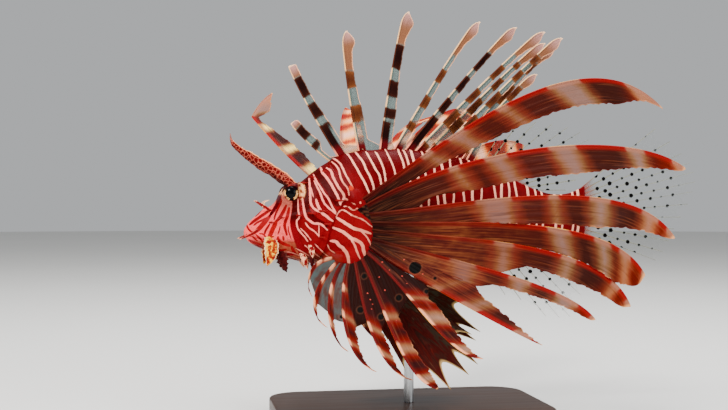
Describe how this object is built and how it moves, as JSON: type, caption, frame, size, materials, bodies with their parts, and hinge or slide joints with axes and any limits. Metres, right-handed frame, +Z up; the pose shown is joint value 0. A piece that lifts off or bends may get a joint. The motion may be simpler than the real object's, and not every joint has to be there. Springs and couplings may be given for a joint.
{
  "type": "red lionfish display model",
  "caption": "Life-size lionfish as if swimming, with fanned pectoral rays and tall dorsal spines, held on one rod over a flat base.",
  "frame": {"origin": "middle of the stand base's underside, straight below the rod", "axes": "+Z up, the fish's head points to -X, its left side faces -Y"},
  "size_m": [0.3418, 0.2594, 0.2888],
  "materials": {
    "skin": "moist skin, deep red with thin white lines edged in maroon",
    "eye": "glossy dark pupil in a thin golden and white ring",
    "spine_fin": "dark maroon blocks between pale grey ones, white leaf tips",
    "banded_fin": "red-brown bands between pale pinkish bands, fine rays",
    "dark_fin": "dark maroon web with greenish grey patches and pale tips",
    "clear_fin": "almost clear web, pale rays with rows of black spots",
    "base_wood": "dark stained wood, satin",
    "rod_steel": "satin steel"
  },
  "bodies": {
    "root": {"head": "skin", "lower_jaw": "skin", "torso": "skin", "tail": "skin", "brow_tentacle_left": "skin", "brow_tentacle_right": "skin", "eye_left": "eye", "eye_right": "eye", "dorsal_spines": "spine_fin", "soft_dorsal_fin": "clear_fin", "anal_fin": "clear_fin", "caudal_fin": "clear_fin", "pectoral_fin_left_upper": "banded_fin", "pectoral_fin_left_lower": "banded_fin", "pectoral_fin_right_front": "banded_fin", "pectoral_fin_right_upper": "banded_fin", "pectoral_fin_right_lower": "banded_fin", "pelvic_fin_left": "dark_fin", "pelvic_fin_right": "dark_fin", "stand_base": "base_wood", "stand_rod": "rod_steel"}
  },
  "joints": []
}
